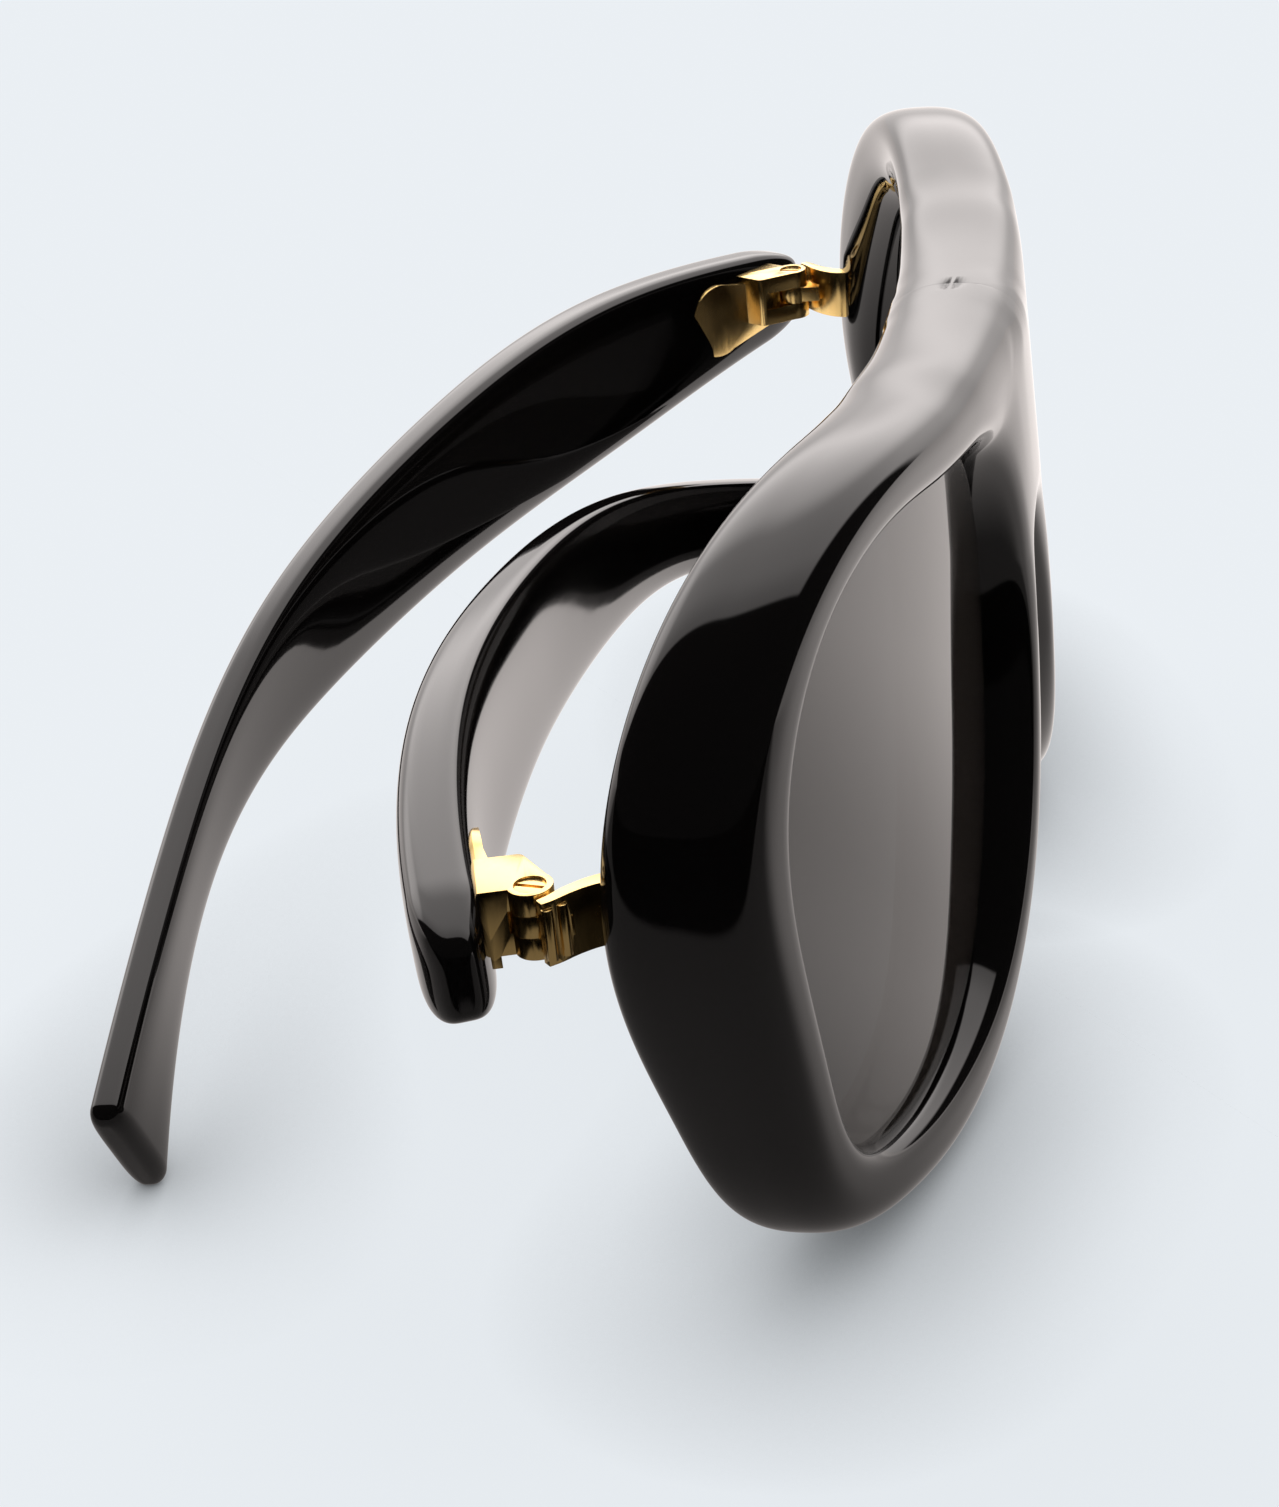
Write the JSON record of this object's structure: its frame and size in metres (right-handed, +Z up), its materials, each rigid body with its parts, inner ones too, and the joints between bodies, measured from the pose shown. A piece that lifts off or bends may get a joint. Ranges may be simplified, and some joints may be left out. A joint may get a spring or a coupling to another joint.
{
  "type": "sunglasses",
  "caption": "Sunglasses with a thick, softly swollen front, deeply set tinted lenses and bowed temples on three-barrel metal hinges, stored with the temples folded in.",
  "frame": {"origin": "The middle of the underside of the nose bridge.", "axes": "+X is the wearer's left, -Y is the front, +Z is up as the glasses stand on their lower rims."},
  "size_m": [0.1411, 0.0685, 0.06],
  "materials": {
    "acetate": "polished black acetate",
    "lens_tint": "smoke tint",
    "gold_metal": "polished gold plate",
    "core_steel": "drawn wire"
  },
  "bodies": {
    "front": {"front_frame": "acetate", "lens_right": "lens_tint", "lens_left": "lens_tint", "nose_pad_right": "acetate", "nose_pad_left": "acetate", "frame_leaf_right": "gold_metal", "frame_leaf_left": "gold_metal"},
    "temple_right": {"temple_right": "acetate", "core_wire_right": "core_steel", "temple_leaf_right": "gold_metal", "hinge_screw_right": "gold_metal"},
    "temple_left": {"temple_left": "acetate", "core_wire_left": "core_steel", "temple_leaf_left": "gold_metal", "hinge_screw_left": "gold_metal"}
  },
  "joints": [
    {"name": "fold_right", "type": "hinge", "parent": "front", "child": "temple_right", "pos_m": [-0.0631, 0.02286, -0.00345], "axis": [0, 0.1104, 0.9939], "range_deg": [0, 6]},
    {"name": "fold_left", "type": "hinge", "parent": "front", "child": "temple_left", "pos_m": [0.0631, 0.02286, -0.00345], "axis": [0, 0.1104, 0.9939], "range_deg": [-65.04, 3]}
  ]
}
